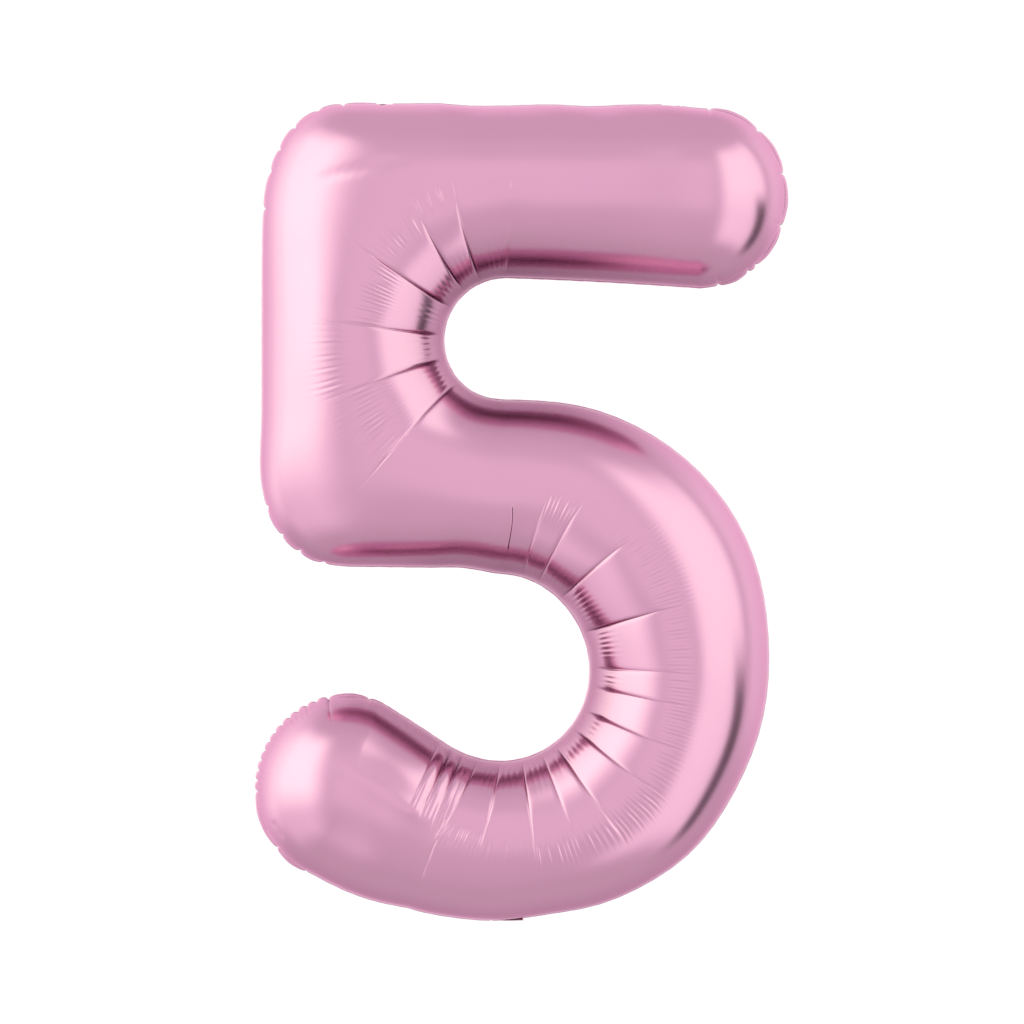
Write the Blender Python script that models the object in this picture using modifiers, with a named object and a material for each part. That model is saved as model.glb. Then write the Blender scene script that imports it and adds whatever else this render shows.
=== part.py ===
"""A foil number balloon, the digit five, blown up hard.

Two foil panels are welded together round their edge. A filling neck of the same foil is folded up behind the
bowl, with a self-sealing valve of two plastic films in it that goes on into the gas space as two flaps. Two hang
tabs are folded back behind the top edge. Metres, +Z up, the front looks towards -Y, and the origin is where the
neck leaves the digit, in the plane of the seam and level with its lowest edge.
"""

import math

import bmesh
import bpy
import numpy as np

# The digit is one stroke: a straight arm, the turn round the upper bay, the bowl round the lower bay, and a
# straight tail. These are sizes of the stroke's middle line. A place on it is a number from 0 to 4: 0 to 1 runs
# along the arm from its free end, 1 to 2 round the turn, 2 to 3 round the bowl, and 3 to 4 along the tail.
ARM_LENGTH = 0.200
ARM_DROOP = math.radians(1)
TURN_RADIUS = 0.158
BOWL_RADIUS = 0.1815
BOWL_SWEEP = math.radians(202)
TAIL_LENGTH = 0.107

# Half the width of the blown-up stroke, and what is added to it at a place, on each side of the middle line. Going
# from the arm's end, the right side is the outside of the turn and the inside of the bowl.
HALF_WIDTH = 0.0887
RIGHT_SWELL = (
    (0, -0.0025), (0.5, -0.0015), (1, -0.005), (2, -0.0045), (2.25, 0.004), (2.5, 0.002), (2.75, -0.007),
    (3, -0.0135), (3.4, -0.0085), (4, 0.0035),
)
LEFT_SWELL = (
    (0, 0.0085), (0.5, 0.004), (1, 0.0015), (1.5, 0.0005), (2, 0.005), (2.25, 0.011), (2.5, 0.001), (2.75, -0.003),
    (3, -0.0035), (3.4, 0.007), (4, 0.0065),
)
ARM_TIP_SWELL = -0.0025
TAIL_TIP_SWELL = 0.0025

# The outside of the turn is squared off to two full corners: three walls, each as the angle of its outward normal
# and how far it is moved out from the stroke's plain outer edge, and a power that sets how sharp the corners are.
# The squared edge takes over from the plain one, and hands back to it, over this share of the turn.
TURN_WALLS = ((math.radians(90), -0.0025), (math.radians(180), 0.0065), (math.radians(270), -0.0115))
CORNER_POWER = 6.0
TURN_EASE = 0.1

# A stroke end is thinner than the round tube of the stroke, over this length of it.
END_THINNING = 0.010
END_THINNING_REACH = 0.060

PANEL_THICKNESS = 0.0012
SEAM_THICKNESS = 0.0009
SEAM_WIDTH = 0.0040
SEAM_TUCK = 0.0020
GAP = 0.0003

# The filling neck: two plies of foil with the valve's two films between them, on the underside of the bowl.
NECK_LENGTH = 0.084
NECK_ROOT_WIDTH = 0.026
NECK_MOUTH_WIDTH = 0.036
NECK_LIFT = 0.0006
PLY_THICKNESS = 0.0005
NOTCH_CLEARANCE = 0.0015
VALVE_WIDTH = 0.020
VALVE_SETBACK = 0.010
FILM_THICKNESS = 0.0003
FLAP_LENGTH = 0.072
FLAP_TIP_WIDTH = 0.015
FLAP_RISE = 0.003

# The hang tabs: flat tongues with a punched hole, at these distances along the top edge from the bay's middle.
TAB_PLACES = {"hang_tab_left": -0.128, "hang_tab_right": 0.172}
TAB_WIDTH = 0.018
TAB_LENGTH = 0.016
TAB_HOLE_RADIUS = 0.0025
TAB_HOLE_IN = 0.0092
TAB_THICKNESS = 0.0008
TAB_DROP = 0.0008

# How finely each piece is divided.
STATIONS = {"arm": 4, "turn": 26, "bowl": 26, "tail": 4}
CAP_STEPS = 10
ROWS = 6
NECK_STEPS = 14
ARC_STEPS = 12
HOLE_STEPS = 20

FOIL = ("foil_pink", (0.80, 0.40, 0.58, 1), 0.22, 1.0)
VALVE_FILM = ("valve_film", (0.86, 0.88, 0.90, 1), 0.30, 0.0)


def smooth_curve(stations):
    """The natural cubic spline through (place, value) stations, as a function of place."""
    at, value = np.array(stations, float).T
    step = np.diff(at)
    rise = np.diff(value) / step
    system = np.eye(len(at))
    load = np.zeros(len(at))
    for i in range(1, len(step)):
        system[i, i - 1 : i + 2] = step[i - 1], 2 * (step[i - 1] + step[i]), step[i]
        load[i] = 6 * (rise[i] - rise[i - 1])
    bend = np.linalg.solve(system, load)

    def curve(place):
        i = np.clip(np.searchsorted(at, place) - 1, 0, len(step) - 1)
        near = (at[i + 1] - place) / step[i]
        far = 1 - near
        straight = near * value[i] + far * value[i + 1]
        return straight + ((near**3 - near) * bend[i] + (far**3 - far) * bend[i + 1]) * step[i] ** 2 / 6

    return curve


def direction(angle):
    return np.stack([np.cos(angle), np.sin(angle)], axis=-1)


def middle_line(place):
    """(points, headings) of the stroke's middle at these places, with the upper bay's middle at (0, 0)."""
    part = np.clip(np.asarray(place, float)[:, None] - np.arange(4), 0, 1)
    turn_start = math.pi / 2 - ARM_DROOP
    turn_angle = turn_start + (math.pi + ARM_DROOP) * part[:, 1]
    bowl_turned = BOWL_SWEEP * part[:, 2]
    heading = turn_angle + math.pi / 2 - bowl_turned
    arm_heading = direction(turn_start + math.pi / 2)
    tail_heading = direction(-BOWL_SWEEP)
    bowl_from_top = BOWL_RADIUS * (direction(math.pi / 2 - bowl_turned) - direction(math.pi / 2))
    points = (
        TURN_RADIUS * direction(turn_angle)
        - ARM_LENGTH * (1 - part[:, :1]) * arm_heading
        + bowl_from_top
        + TAIL_LENGTH * part[:, 3:] * tail_heading
    )
    return points, heading


def half_widths(place):
    """(right, left) half widths of the stroke at these places."""
    place = np.asarray(place, float)
    right = HALF_WIDTH + smooth_curve(RIGHT_SWELL)(place)
    left = HALF_WIDTH + smooth_curve(LEFT_SWELL)(place)
    points, _ = middle_line(place)
    angle = np.arctan2(points[:, 1], points[:, 0])
    nearness = 0
    for normal, moved in TURN_WALLS:
        facing = np.maximum(np.cos(angle - normal), 0)
        nearness = nearness + (facing / (TURN_RADIUS + HALF_WIDTH + moved)) ** CORNER_POWER
    squared = np.maximum(nearness, 1e-30) ** (-1 / CORNER_POWER) - TURN_RADIUS
    into = np.clip(np.minimum(place - 1, 2 - place) / TURN_EASE, 0, 1)
    return right + (squared - right) * into**2 * (3 - 2 * into), left


def half_depth(place):
    """Half the depth of the stroke, which is a round tube but for its thinner ends."""
    place = np.asarray(place, float)
    swell = (smooth_curve(RIGHT_SWELL)(place) + smooth_curve(LEFT_SWELL)(place)) / 2
    from_end = np.where(place < 1, place * ARM_LENGTH, 1.0)
    from_end = np.where(place > 3, (4 - place) * TAIL_LENGTH, from_end)
    return HALF_WIDTH + swell - END_THINNING * np.exp(-((from_end / END_THINNING_REACH) ** 2))


def cap(place, tip_swell, from_right):
    """(edge points, middle points, half depths) round a stroke end, from its right side to its left or back."""
    turned = np.linspace(0, 1, CAP_STEPS + 1)[1:-1]
    middle, heading = middle_line([place])
    right, left = half_widths([place])
    first, last = (right, left) if from_right else (left, right)
    radius = first + (last - first) * turned + (HALF_WIDTH + tip_swell - (first + last) / 2) * np.sin(math.pi * turned) ** 2
    start = heading - math.pi / 2 if from_right else heading + math.pi / 2
    edge = middle + radius[:, None] * direction(start + math.pi * turned)
    count = len(turned)
    return edge, np.repeat(middle, count, axis=0), np.repeat(half_depth([place]), count)


def digit():
    """(edge, middle, depth): for each station of the closed outline its edge point, the point of the middle line
    behind it and the half depth there. The outline runs up the right side, round the tail, and back."""
    counts = STATIONS.values()
    place = np.concatenate([k + np.arange(n) / n for k, n in enumerate(counts)] + [[4.0]])
    points, heading = middle_line(place)
    outwards = direction(heading - math.pi / 2)
    right, left = half_widths(place)
    depth = half_depth(place)
    right_edge = points + outwards * right[:, None]
    left_edge = points - outwards * left[:, None]
    tail_cap = cap(4.0, TAIL_TIP_SWELL, True)
    arm_cap = cap(0.0, ARM_TIP_SWELL, False)
    edge = np.concatenate([right_edge, tail_cap[0], left_edge[::-1], arm_cap[0]])
    middle = np.concatenate([points, tail_cap[1], points[::-1], arm_cap[1]])
    depths = np.concatenate([depth, tail_cap[2], depth[::-1], arm_cap[2]])
    return edge, middle, depths


def edge_normals(edge):
    along = np.roll(edge, -1, axis=0) - np.roll(edge, 1, axis=0)
    out = np.stack([along[:, 1], -along[:, 0]], axis=1)
    return out / np.linalg.norm(out, axis=1)[:, None]


def neck_place(edge, middle):
    """Where the neck leaves the digit, from the bay's middle: under the stroke's lowest middle point, level with
    the seam's lowest edge. It is the frame's origin."""
    rim = edge + SEAM_WIDTH * edge_normals(edge)
    return np.array([middle[middle[:, 1].argmin(), 0], rim[:, 1].min()])


def material(name, colour, roughness, metallic):
    made = bpy.data.materials.get(name) or bpy.data.materials.new(name)
    made.use_nodes = True
    shader = made.node_tree.nodes["Principled BSDF"]
    shader.inputs["Base Color"].default_value = colour
    shader.inputs["Roughness"].default_value = roughness
    shader.inputs["Metallic"].default_value = metallic
    return made


def finish(obj, name, look, collection):
    obj.name = name
    obj.data.materials.clear()
    obj.data.materials.append(material(*look))
    for owner in list(obj.users_collection):
        owner.objects.unlink(obj)
    collection.objects.link(obj)
    return obj


def sheet(points, closed, thickness, name, look, collection):
    """A grid laid on points[row, column], welded where it meets itself and given a thickness on both sides of it
    or, where closed, on its inside."""
    rows, columns = points.shape[:2]
    bpy.ops.mesh.primitive_grid_add(x_subdivisions=columns - 1, y_subdivisions=rows - 1, size=1)
    obj = bpy.context.object
    obj.data.vertices.foreach_set("co", points.reshape(-1).astype(np.float32))
    mesh = bmesh.new()
    mesh.from_mesh(obj.data)
    bmesh.ops.remove_doubles(mesh, verts=mesh.verts, dist=1e-6)
    bmesh.ops.recalc_face_normals(mesh, faces=mesh.faces)
    if closed and sum(face.normal.y * face.calc_area() for face in mesh.faces) * points[..., 1].mean() < 0:
        bmesh.ops.reverse_faces(mesh, faces=mesh.faces)
    mesh.to_mesh(obj.data)
    mesh.free()
    obj.data.shade_smooth()
    wall = obj.modifiers.new("wall", "SOLIDIFY")
    wall.thickness = thickness
    wall.offset = -1 if closed else 0
    return finish(obj, name, look, collection)


def plate(outlines, thickness, name, look, collection):
    """A flat plate from closed outlines in its own XY plane, the later ones being holes."""
    data = bpy.data.curves.new(name, "CURVE")
    data.dimensions = "2D"
    data.fill_mode = "BOTH"
    data.extrude = thickness / 2
    for outline in outlines:
        spline = data.splines.new("POLY")
        spline.points.add(len(outline) - 1)
        for point, (x, y) in zip(spline.points, outline):
            point.co = (x, y, 0, 1)
        spline.use_cyclic_u = True
    obj = bpy.data.objects.new(name, data)
    bpy.context.scene.collection.objects.link(obj)
    return finish(obj, name, look, collection)


def pivot(name, location, collection):
    empty = bpy.data.objects.new(name, None)
    empty.location = location
    collection.objects.link(empty)
    return empty


def panel(name, side, edge, middle, depth, collection):
    """One foil panel, on the side -1 for the front or 1 for the back: quarter rounds from the edge to the middle."""
    lean = np.linspace(0, math.pi / 2, ROWS + 1)[:, None]
    loop = np.append(np.arange(len(edge)), 0)
    across = edge[loop] + (middle - edge)[loop] * (1 - np.cos(lean))[..., None]
    rim = SEAM_THICKNESS / 2 + GAP
    away = side * (rim + depth[loop] * np.sin(lean))
    points = np.stack([across[..., 0], away, across[..., 1]], axis=-1)
    return sheet(points, True, PANEL_THICKNESS, name, FOIL, collection)


def edge_seam(edge, collection):
    """The flat welded band round the digit, open where the neck goes through it at X = 0."""
    out = edge_normals(edge)
    notch = NECK_ROOT_WIDTH / 2 + NOTCH_CLEARANCE
    ring = np.roll(np.arange(len(edge)), -edge[:, 1].argmin())
    at_neck = (np.abs(edge[ring, 0]) <= notch) & (edge[ring, 1] < HALF_WIDTH)
    ring = ring[~at_neck]
    ends = []
    for first, second in ((ring[0], ring[-1]), (ring[-1], ring[0])):
        x = math.copysign(notch, edge[first, 0])
        share = (x - edge[first, 0]) / (edge[second, 0] - edge[first, 0])
        ends.append(edge[first] + share * (edge[second] - edge[first]))
    centre = np.concatenate([[ends[0]], edge[ring], [ends[1]]])
    normal = np.concatenate([[out[ring[0]]], out[ring], [out[ring[-1]]]])
    rows = np.stack([centre - SEAM_TUCK * normal, centre + SEAM_WIDTH * normal])
    points = np.stack([rows[..., 0], np.zeros(rows.shape[:2]), rows[..., 1]], axis=-1)
    return sheet(points, False, SEAM_THICKNESS, "edge_seam", FOIL, collection)


def neck(edge, middle, depth, collection):
    """The neck's plies and the films between them, wrapped up the back of the bowl from the fold at their root,
    and the two flaps that the films become inside."""
    lowest = edge[:, 1].argmin()
    bottom, centre_z = edge[lowest, 1], middle[lowest, 1]
    drop, reach = centre_z - bottom, depth[lowest]
    stack = NECK_LIFT + np.cumsum([0, PLY_THICKNESS + GAP, FILM_THICKNESS + GAP, FILM_THICKNESS + GAP])
    stack_middle = (stack[0] + stack[-1] + PLY_THICKNESS) / 2
    root_y = SEAM_THICKNESS / 2 + GAP
    fold = pivot("neck_fold", (0, root_y, bottom - stack_middle), collection)
    layers = (
        ("neck_back_ply", stack[0], PLY_THICKNESS, FOIL, NECK_LENGTH, NECK_ROOT_WIDTH, NECK_MOUTH_WIDTH),
        ("valve_back_film", stack[1], FILM_THICKNESS, VALVE_FILM, NECK_LENGTH - VALVE_SETBACK, VALVE_WIDTH, VALVE_WIDTH),
        ("valve_front_film", stack[2], FILM_THICKNESS, VALVE_FILM, NECK_LENGTH - VALVE_SETBACK, VALVE_WIDTH, VALVE_WIDTH),
        ("neck_front_ply", stack[3], PLY_THICKNESS, FOIL, NECK_LENGTH, NECK_ROOT_WIDTH, NECK_MOUTH_WIDTH),
    )
    for name, inner, thickness, look, length, root_width, mouth_width in layers:
        out = inner + thickness / 2
        along = np.linspace(0, length, NECK_STEPS + 1)
        angle = along / ((reach + drop) / 2 + out)
        y = root_y + (reach + out) * np.sin(angle)
        z = centre_z - (drop + out) * np.cos(angle)
        width = root_width + (mouth_width - root_width) * (along / NECK_LENGTH) ** 2
        across = np.array([-0.5, 0.0, 0.5])[:, None] * width
        points = np.stack(np.broadcast_arrays(across, y, z), axis=-1) - np.array(fold.location)
        sheet(points, False, thickness, name, look, collection).parent = fold
    for name, side in (("valve_front_flap", -1), ("valve_back_flap", 1)):
        hinge = pivot(name + "_hinge", (0, side * (GAP + FILM_THICKNESS) / 2, bottom + FLAP_RISE), collection)
        flap = plate([flap_outline()], FILM_THICKNESS, name, VALVE_FILM, collection)
        flap.rotation_euler = (math.pi / 2, 0, 0)
        flap.parent = hinge


def flap_outline():
    """A long tongue, narrower towards its round tip."""
    radius = FLAP_TIP_WIDTH / 2
    turned = np.linspace(0, math.pi, ARC_STEPS + 1)
    tip = np.stack([radius * np.cos(turned), FLAP_LENGTH - radius + radius * np.sin(turned)], axis=1)
    return [(-VALVE_WIDTH / 2, 0.0), (VALVE_WIDTH / 2, 0.0), *map(tuple, tip)]


def tab_outlines():
    """A tongue with a round end, and its punched hole."""
    radius = TAB_WIDTH / 2
    turned = np.linspace(0, math.pi, ARC_STEPS + 1)
    end = np.stack([radius * np.cos(turned), TAB_LENGTH - radius + radius * np.sin(turned)], axis=1)
    around = np.linspace(0, 2 * math.pi, HOLE_STEPS, endpoint=False)
    hole = np.stack([TAB_HOLE_RADIUS * np.cos(around), TAB_HOLE_IN + TAB_HOLE_RADIUS * np.sin(around)], axis=1)
    return [[(-radius, 0.0), (radius, 0.0), *map(tuple, end)], [*map(tuple, hole)]]


def hang_tabs(edge, bay_x, collection):
    """Each tab lies back behind the top edge of the seam, and hangs on the line where it folds."""
    rim = edge + SEAM_WIDTH * edge_normals(edge)
    top = rim[: STATIONS["arm"] + STATIONS["turn"] // 2]
    root_y = SEAM_THICKNESS / 2 + GAP + TAB_THICKNESS / 2
    for name, along in TAB_PLACES.items():
        x = bay_x + along
        order = top[:, 0].argsort()
        z = np.interp(x, top[order, 0], top[order, 1])
        fold = pivot(name + "_fold", (x, root_y, z - TAB_DROP), collection)
        plate(tab_outlines(), TAB_THICKNESS, name, FOIL, collection).parent = fold


def main():
    for obj in list(bpy.data.objects):
        bpy.data.objects.remove(obj)
    collection = bpy.data.collections.new("foil_number_five")
    bpy.context.scene.collection.children.link(collection)
    edge, middle, depth = digit()
    origin = neck_place(edge, middle)
    edge, middle = edge - origin, middle - origin
    panel("front_panel", -1, edge, middle, depth, collection)
    panel("back_panel", 1, edge, middle, depth, collection)
    edge_seam(edge, collection)
    neck(edge, middle, depth, collection)
    hang_tabs(edge, -origin[0], collection)


main()
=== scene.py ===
"""A foil number balloon, the digit five, in pink metallic film. Two panels are welded together round their
edge and blown up hard, with a filling neck folded up behind the bowl, and two hang tabs on the top edge."""
import math

import bpy
import numpy as np
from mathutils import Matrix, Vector


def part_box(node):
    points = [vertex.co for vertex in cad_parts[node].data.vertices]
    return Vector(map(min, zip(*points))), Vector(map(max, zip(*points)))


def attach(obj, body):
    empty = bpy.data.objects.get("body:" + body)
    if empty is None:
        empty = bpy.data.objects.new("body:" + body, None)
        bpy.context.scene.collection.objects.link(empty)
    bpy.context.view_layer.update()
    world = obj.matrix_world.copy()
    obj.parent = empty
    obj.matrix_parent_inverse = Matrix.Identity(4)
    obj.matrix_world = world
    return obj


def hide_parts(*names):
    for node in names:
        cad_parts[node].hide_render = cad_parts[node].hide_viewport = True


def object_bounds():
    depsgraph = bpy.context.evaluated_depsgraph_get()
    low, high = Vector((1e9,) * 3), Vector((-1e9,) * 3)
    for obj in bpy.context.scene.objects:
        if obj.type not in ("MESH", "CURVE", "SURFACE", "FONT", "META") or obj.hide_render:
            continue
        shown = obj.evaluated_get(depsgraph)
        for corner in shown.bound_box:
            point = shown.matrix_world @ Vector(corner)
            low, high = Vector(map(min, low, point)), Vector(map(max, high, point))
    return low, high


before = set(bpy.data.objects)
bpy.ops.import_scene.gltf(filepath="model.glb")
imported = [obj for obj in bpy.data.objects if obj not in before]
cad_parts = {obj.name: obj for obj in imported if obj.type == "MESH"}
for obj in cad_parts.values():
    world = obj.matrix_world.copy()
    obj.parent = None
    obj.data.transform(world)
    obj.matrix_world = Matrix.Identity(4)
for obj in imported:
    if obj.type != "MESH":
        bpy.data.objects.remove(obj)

bpy.ops.object.select_all(action="DESELECT")
cad_low, cad_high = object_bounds()

# -------------------------------------------------------------------------------------------------------
# The studio: a long lens looks straight at the balloon, which hangs in front of a white surround. A large
# soft box stands on the left, a slightly weaker one on the right, a dim window glows behind the camera, and
# the floor is pale.
# -------------------------------------------------------------------------------------------------------
LENS_DISTANCE = 8.0
LENS_HEIGHT = 0.4295
LENS_SIDE = 0.0012
FRAME_WIDTH = 1.0713
SENSOR_WIDTH = 0.036
FLOOR_DROP = 0.55
FLOOR_RADIUS = 6.0
FLOOR_SHADE = (0.70, 0.64, 0.69, 1)

eye = bpy.data.cameras.new("studio_camera")
eye.sensor_width = SENSOR_WIDTH * 1000
eye.lens = SENSOR_WIDTH * 1000 * LENS_DISTANCE / FRAME_WIDTH
eye.clip_end = 100
camera = bpy.data.objects.new("studio_camera", eye)
camera.location = (LENS_SIDE, -LENS_DISTANCE, LENS_HEIGHT)
camera.rotation_euler = (math.radians(90), 0, 0)
bpy.context.scene.collection.objects.link(camera)
bpy.context.scene.camera = camera
bpy.context.scene.view_settings.view_transform = "Standard"


class Wire:
    """An output of a shader node. Expressions on wires add the Math nodes they need."""

    def __init__(self, shading, socket):
        self.shading, self.socket = shading, socket

    def maths(self, operation, first, second=0.0):
        return self.shading.node("ShaderNodeMath", {"operation": operation}, {0: first, 1: second})

    def __add__(self, other): return self.maths("ADD", self, other)
    def __radd__(self, other): return self.maths("ADD", other, self)
    def __sub__(self, other): return self.maths("SUBTRACT", self, other)
    def __rsub__(self, other): return self.maths("SUBTRACT", other, self)
    def __mul__(self, other): return self.maths("MULTIPLY", self, other)
    def __rmul__(self, other): return self.maths("MULTIPLY", other, self)
    def __neg__(self): return self.maths("MULTIPLY", self, -1.0)

    def swept(self, low, high):
        """0 below low, 1 above high, and smooth between; low may be the larger."""
        return self.shading.node("ShaderNodeMapRange", {"interpolation_type": "SMOOTHSTEP"},
                                 {"Value": self, "From Min": low, "From Max": high})


class Shading:
    """The nodes of a material or of the world."""

    def __init__(self, tree):
        self.tree = tree

    @staticmethod
    def chosen(sockets, name):
        """The socket of this number or name. A Mix node has one of each name for each kind of data."""
        if isinstance(name, int):
            return sockets[name]
        return [socket for socket in sockets if socket.name == name and socket.enabled][0]

    def node(self, kind, settings, sockets, output=0):
        made = self.tree.nodes.new(kind)
        for name, value in settings.items():
            setattr(made, name, value)
        for name, value in sockets.items():
            entry = self.chosen(made.inputs, name)
            if isinstance(value, Wire):
                self.tree.links.new(value.socket, entry)
            else:
                entry.default_value = value
        return Wire(self, self.chosen(made.outputs, output))


world = bpy.data.worlds.new("studio_surround")
world.use_nodes = True
bpy.context.scene.world = world
surround = Shading(world.node_tree)
toward = surround.node("ShaderNodeTexCoord", {}, {}, "Generated")
split = surround.node("ShaderNodeSeparateXYZ", {}, {"Vector": toward}, "X")
to_side, to_back, upward = (Wire(surround, socket) for socket in split.socket.node.outputs)
# degrees round the balloon from the camera, to the right, and degrees above the level
round_about = to_side.maths("ARCTAN2", to_side, -to_back) * (180 / math.pi)
above = upward.maths("ARCSINE", upward) * (180 / math.pi)
ahead = (-to_back).swept(0.2, 0.6)

level = 0.75 + 0.07 * above.swept(-60, -28) + 0.02 * above.swept(-24, -8)
behind = to_back.swept(0.1, 0.8)
dim_behind = behind * 0.10 * above.swept(14, -6)
near_front = round_about.swept(-26, -8) * round_about.swept(26, 8)
window = 0.17 * near_front * above.swept(-26, -12) * above.swept(50, 30) + 0.05 * ahead
left_wall = 0.80 * round_about.swept(-88, -108) * above.swept(-40, -10) * above.swept(70, 30)
left_wall = left_wall * (1 - 0.5 * behind)
left_box = round_about.swept(-112, -82) * round_about.swept(-18, -48) * above.swept(64, 44)
left_box = left_box * (0.34 + 0.98 * above.swept(-27, 5)) * above.swept(-62, -40)
right_box = round_about.swept(20, 36) * round_about.swept(100, 84) * above.swept(-60, -44)
right_box = right_box * above.swept(58, 42) * (0.60 + 0.26 * above.swept(-25, 10))
right_wall = 0.34 * round_about.swept(98, 112) * above.swept(-30, -5) * above.swept(60, 30)
# a dark stand leans between the right box and the wall behind it
from_stand = round_about - (83 - 0.33 * above)
stand = from_stand.swept(-13, -6) * from_stand.swept(13, 6) * above.swept(5, -13) * above.swept(-56, -40)
glow = (level + window + left_wall + left_box + right_box + right_wall - dim_behind) * (1 - 0.93 * stand)
# the boxes' tubes are a little green, as old ones are, and what the lens sees past the balloon is pure white
bright = glow.swept(0.95, 2.1)
cast = surround.node("ShaderNodeCombineXYZ", {}, {
    "X": glow * (1 - 0.17 * bright), "Y": glow, "Z": glow * (1 - 0.20 * bright)})
seen = surround.node("ShaderNodeLightPath", {}, {}, "Is Camera Ray")
light = surround.node("ShaderNodeMix", {"data_type": "VECTOR"},
                      {"Factor": seen, "A": cast, "B": (1.05, 1.05, 1.05)}, "Result")
background = world.node_tree.nodes["Background"]
world.node_tree.links.new(light.socket, background.inputs["Color"])

bpy.ops.mesh.primitive_circle_add(vertices=96, radius=FLOOR_RADIUS, fill_type="NGON",
                                  location=(0, 0, cad_low.z - FLOOR_DROP))
floor = bpy.context.object
floor.name = "studio_floor"
bpy.ops.object.transform_apply(location=True, rotation=True, scale=True)
floor_paint = bpy.data.materials.new("floor_paint")
floor_paint.use_nodes = True
floor_shader = floor_paint.node_tree.nodes["Principled BSDF"]
floor_shader.inputs["Base Color"].default_value = FLOOR_SHADE
floor_shader.inputs["Roughness"].default_value = 0.9
floor.data.materials.append(floor_paint)
floor.visible_glossy = False  # the balloon hangs too high over it to mirror its near edge

# -------------------------------------------------------------------------------------------------------
# The two panels: metallised film cut to the digit's outline, stretched by the gas. The film can't shrink
# along the inside of a turn, so it gathers there into sharp tucks with flat facets between them, and it
# puckers round the stroke's ends and the outer corners. Nothing but the weld round their edge holds them.
# -------------------------------------------------------------------------------------------------------
ARM_LENGTH = 0.200
ARM_DROOP = math.radians(1)
TURN_RADIUS = 0.158
BOWL_RADIUS = 0.1815
BOWL_SWEEP = math.radians(202)
TAIL_LENGTH = 0.107
HALF_WIDTH = 0.0887
RIGHT_SWELL = (
    (0, -0.0025), (0.5, -0.0015), (1, -0.005), (2, -0.0045), (2.25, 0.004), (2.5, 0.002), (2.75, -0.007),
    (3, -0.0135), (3.4, -0.0085), (4, 0.0035),
)
LEFT_SWELL = (
    (0, 0.0085), (0.5, 0.004), (1, 0.0015), (1.5, 0.0005), (2, 0.005), (2.25, 0.011), (2.5, 0.001),
    (2.75, -0.003), (3, -0.0035), (3.4, 0.007), (4, 0.0065),
)
# Where the weld wanders off those curves: metres along the stroke, half length, and metres outwards.
RIGHT_WANDER = (
    (-0.010, 0.030, -0.0022), (0.036, 0.016, 0.0008), (0.116, 0.030, -0.0025), (0.304, 0.016, 0.0042),
    (0.343, 0.020, -0.0036), (0.532, 0.022, 0.0038), (0.592, 0.017, 0.0036),
)
LEFT_WANDER = (
    (0.715, 0.030, -0.0022), (0.962, 0.050, -0.0033), (1.128, 0.042, 0.0040), (1.240, 0.032, -0.0046),
    (1.347, 0.034, 0.0056),
)
ARM_TIP_SWELL = -0.0025
TAIL_TIP_SWELL = 0.0025
TURN_WALLS = ((math.radians(90), -0.0025), (math.radians(180), 0.0065), (math.radians(270), -0.0115))
CORNER_POWER = 6.0
TURN_EASE = 0.1
END_THINNING = 0.010
END_THINNING_REACH = 0.060
TURN_START = math.pi / 2 - ARM_DROOP
TURN_SWEEP = math.pi + ARM_DROOP
WELD_IN = 0.0026  # the film swells this far out over the flat weld
WELD_HALF = 0.0003

STATIONS = {"arm": 112, "turn": 372, "bowl": 452, "tail": 60}
CAP_STEPS = 150
ROWS = 37
CREASE_WIDTH = 0.0009
CREASE_COLUMNS = (-2, -1, -0.5, 0, 0.5, 1, 2)  # columns of points by a crease, in widths of it


def smooth_curve(stations):
    """The natural cubic spline through (place, value) stations, as a function of place."""
    at, value = np.array(stations, float).T
    step = np.diff(at)
    rise = np.diff(value) / step
    system = np.eye(len(at))
    load = np.zeros(len(at))
    for i in range(1, len(step)):
        system[i, i - 1 : i + 2] = step[i - 1], 2 * (step[i - 1] + step[i]), step[i]
        load[i] = 6 * (rise[i] - rise[i - 1])
    bend = np.linalg.solve(system, load)

    def curve(place):
        i = np.clip(np.searchsorted(at, place) - 1, 0, len(step) - 1)
        near = (at[i + 1] - place) / step[i]
        far = 1 - near
        straight = near * value[i] + far * value[i + 1]
        return straight + ((near**3 - near) * bend[i] + (far**3 - far) * bend[i + 1]) * step[i] ** 2 / 6

    return curve


def eased(value, low, high):
    """0 before low, 1 after high, smooth between; low may be the larger."""
    share = np.clip((value - low) / (high - low), 0, 1)
    return share * share * (3 - 2 * share)


def direction(angle):
    return np.stack([np.cos(angle), np.sin(angle)], axis=-1)


def middle_line(place):
    """(points, headings) of the stroke's middle at these places, with the upper bay's middle at (0, 0)."""
    part = [np.clip(place - k, 0, 1) for k in range(4)]
    turn_angle = TURN_START + TURN_SWEEP * part[1]
    bowl_turned = BOWL_SWEEP * part[2]
    heading = turn_angle + math.pi / 2 - bowl_turned
    points = (
        TURN_RADIUS * direction(turn_angle)
        - ARM_LENGTH * (1 - part[0])[..., None] * direction(TURN_START + math.pi / 2)
        + BOWL_RADIUS * (direction(math.pi / 2 - bowl_turned) - direction(math.pi / 2))
        + TAIL_LENGTH * part[3][..., None] * direction(-BOWL_SWEEP)
    )
    return points, heading


RUN_LENGTHS = (ARM_LENGTH, TURN_SWEEP * TURN_RADIUS, BOWL_SWEEP * BOWL_RADIUS, TAIL_LENGTH)
RUNS = np.cumsum((0,) + RUN_LENGTHS)
right_curve, left_curve = smooth_curve(RIGHT_SWELL), smooth_curve(LEFT_SWELL)


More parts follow.
